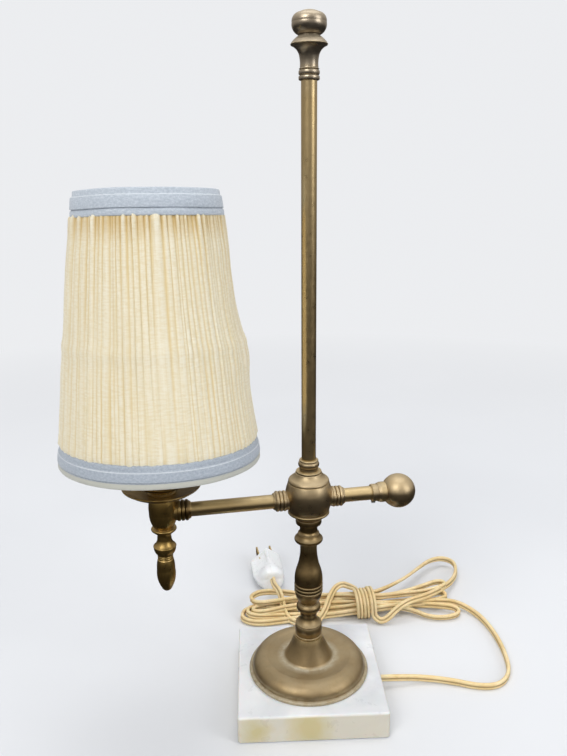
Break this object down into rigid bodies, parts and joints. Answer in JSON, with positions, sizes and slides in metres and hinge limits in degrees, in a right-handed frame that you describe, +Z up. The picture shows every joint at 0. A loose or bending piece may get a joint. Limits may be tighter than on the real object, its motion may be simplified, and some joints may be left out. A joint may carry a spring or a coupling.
{
  "type": "table lamp",
  "caption": "Bouillotte-style lamp: a swivel arm on a turned brass column, with a candle-cup socket, a clip-on pleated shade, a square marble base and a coiled flat cord.",
  "frame": {"origin": "on the table, under the axis of the column and the middle of the marble", "axes": "+Z up; +X along the marble's side, towards the side where the cord leaves; -Y is the front. The arm stands 8.5 degrees anticlockwise of X, its ball at the +X end and its shade at the -X end."},
  "size_m": [0.3181, 0.2748, 0.4538],
  "materials": {
    "antique_brass": "satin, browned in the hollows and rubbed bright on the edges",
    "marble": "honed white marble with grey veins and yellowed stains",
    "felt": "matte wool felt",
    "shade_cloth": "woven cream fabric in narrow uneven pleats",
    "trim_tape": "pale blue-white folded tape",
    "shade_liner": "matte cream liner",
    "bright_brass": "bright, unlacquered",
    "steel": "plain plated steel",
    "card": "plain insulating card",
    "porcelain": "unglazed insulating body",
    "glass": "frosted inside",
    "cord_pvc": "matte cream-tan PVC",
    "plug_plastic": "off-white moulding",
    "lead_insulation": "plain"
  },
  "bodies": {
    "base": {"felt_pad": "felt", "marble_base": "marble", "foot": "antique_brass", "foot_collar": "antique_brass", "knop": "antique_brass", "vase": "antique_brass", "flared_cup": "antique_brass", "bearing_plate": "antique_brass", "friction_washer": "card", "centre_pipe": "steel", "base_washer": "steel", "base_nut": "steel", "pivot_nut": "steel", "column_leads": "lead_insulation", "cord_in_base": "cord_pvc", "supply_cord": "cord_pvc", "cord_loop": "cord_pvc", "cord_hank": "cord_pvc", "plug_lead": "cord_pvc", "plug_body": "plug_plastic", "plug_blades": "bright_brass"},
    "arm": {"cluster_body": "antique_brass", "body_cap": "antique_brass", "neck_rings": "antique_brass", "rod": "antique_brass", "rod_nipple": "steel", "finial_collar": "antique_brass", "finial": "antique_brass", "left_tube": "antique_brass", "left_inner_collar": "antique_brass", "left_outer_collar": "antique_brass", "right_inner_collar": "antique_brass", "right_tube": "antique_brass", "ball_collar": "antique_brass", "set_screw": "steel", "end_ball": "antique_brass", "sconce_barrel": "antique_brass", "barrel_ring": "antique_brass", "drop_knob": "antique_brass", "acorn_drop": "antique_brass", "sconce_nipple": "steel", "drip_dish": "antique_brass", "seat_ring": "antique_brass", "socket_cap": "antique_brass", "socket_shell": "antique_brass", "socket_sleeve": "card", "socket_core": "porcelain", "screw_shell": "bright_brass", "centre_contact": "bright_brass", "bulb_base": "bright_brass", "bulb_glass": "glass", "arm_leads": "lead_insulation"},
    "switch": {"switch_shaft": "steel", "switch_knob": "antique_brass"},
    "clip": {"shade_clip": "steel"},
    "shade": {"shade_frame": "steel", "shade_lining": "shade_liner", "shade_fabric": "shade_cloth", "top_trim": "trim_tape", "bottom_trim": "trim_tape"}
  },
  "joints": [
    {"name": "arm_swivel", "type": "hinge", "parent": "base", "child": "arm", "pos_m": [0, 0, 0.14425], "axis": [0, 0, 1], "range_deg": [-170, 170]},
    {"name": "switch_turn", "type": "hinge", "parent": "arm", "child": "switch", "pos_m": [-0.09643, -0.01441, 0.1827], "axis": [-0.989, -0.1478, 0], "continuous": true},
    {"name": "shade_lift", "type": "slide", "parent": "arm", "child": "clip", "axis": [0, 0, 1], "range_m": [0, 0.14]},
    {"name": "shade_tilt", "type": "hinge", "parent": "clip", "child": "shade", "pos_m": [-0.09643, -0.01441, 0.26574], "axis": [0.989, 0.1478, 0], "range_deg": [-14, 14]}
  ]
}
